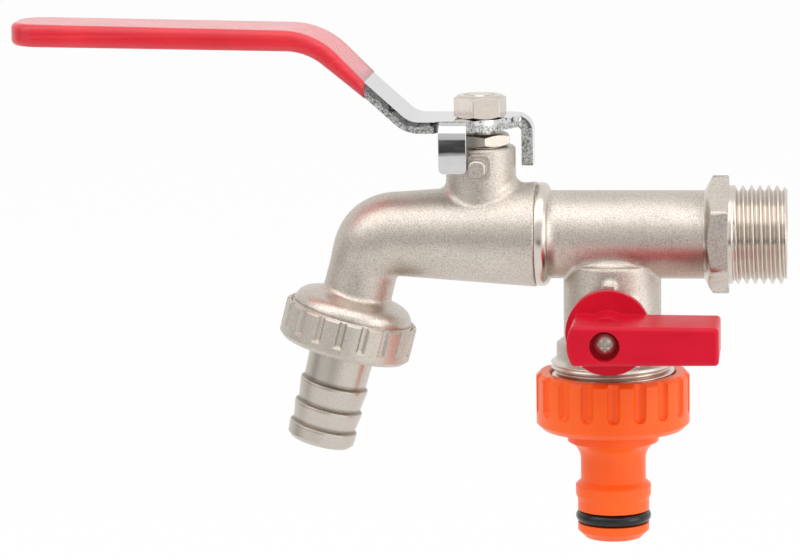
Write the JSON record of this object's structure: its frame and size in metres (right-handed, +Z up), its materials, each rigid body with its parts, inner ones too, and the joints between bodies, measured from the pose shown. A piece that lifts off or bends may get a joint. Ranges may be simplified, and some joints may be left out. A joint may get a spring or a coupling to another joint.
{
  "type": "dual outlet garden tap",
  "caption": "Wall tap with a lever ball valve over a bent spout with a barbed hose tail, and a side lever valve on a branch with a push-on hose spigot.",
  "frame": {"origin": "middle of the inlet hexagon's shoulder, where the inlet thread starts", "axes": "+X out of the inlet along its thread, +Z up, side lever facing -Y"},
  "size_m": [0.1655, 0.049, 0.112],
  "materials": {
    "nickel_plate": "satin nickel plate on blasted cast brass",
    "plated_steel": "plated",
    "chromed_steel": "bright, stamped edges",
    "red_dip": "gloss dipped sleeve",
    "red_moulding": "gloss moulding",
    "orange_moulding": "semi-gloss moulding",
    "black_rubber": "smooth",
    "seat_plastic": "turned",
    "plain_brass": "turned",
    "ball_plate": "polished plate"
  },
  "bodies": {
    "tap": {"spout_body": "nickel_plate", "inlet_tail": "nickel_plate", "ball_seat_inlet": "seat_plastic", "ball_seat_outlet": "seat_plastic", "stem_packing": "seat_plastic", "gland_nut": "nickel_plate", "union_nut": "nickel_plate", "hose_tail": "nickel_plate", "hose_tail_washer": "black_rubber", "side_seat_upper": "seat_plastic", "side_seat_lower": "seat_plastic", "outlet_retainer": "plain_brass", "hose_connector": "orange_moulding", "connector_washer": "black_rubber", "connector_o_ring": "black_rubber"},
    "main_handle": {"lever_arm": "chromed_steel", "lever_grip": "red_dip", "lever_nut": "plated_steel", "main_stem": "plated_steel", "stem_thrust_washer": "seat_plastic", "main_ball": "ball_plate"},
    "side_handle": {"side_lever": "red_moulding", "side_lever_screw": "plated_steel", "side_stem": "plain_brass", "side_stem_o_ring_inner": "black_rubber", "side_stem_o_ring_outer": "black_rubber", "side_ball": "ball_plate"}
  },
  "joints": [
    {"name": "main_lever_turn", "type": "hinge", "parent": "tap", "child": "main_handle", "pos_m": [-0.05285, 0, 0], "axis": [0, 0, 1], "range_deg": [-90, 0]},
    {"name": "side_lever_turn", "type": "hinge", "parent": "tap", "child": "side_handle", "pos_m": [-0.0249, 0, -0.0185], "axis": [0, -1, 0], "range_deg": [0, 90]}
  ]
}
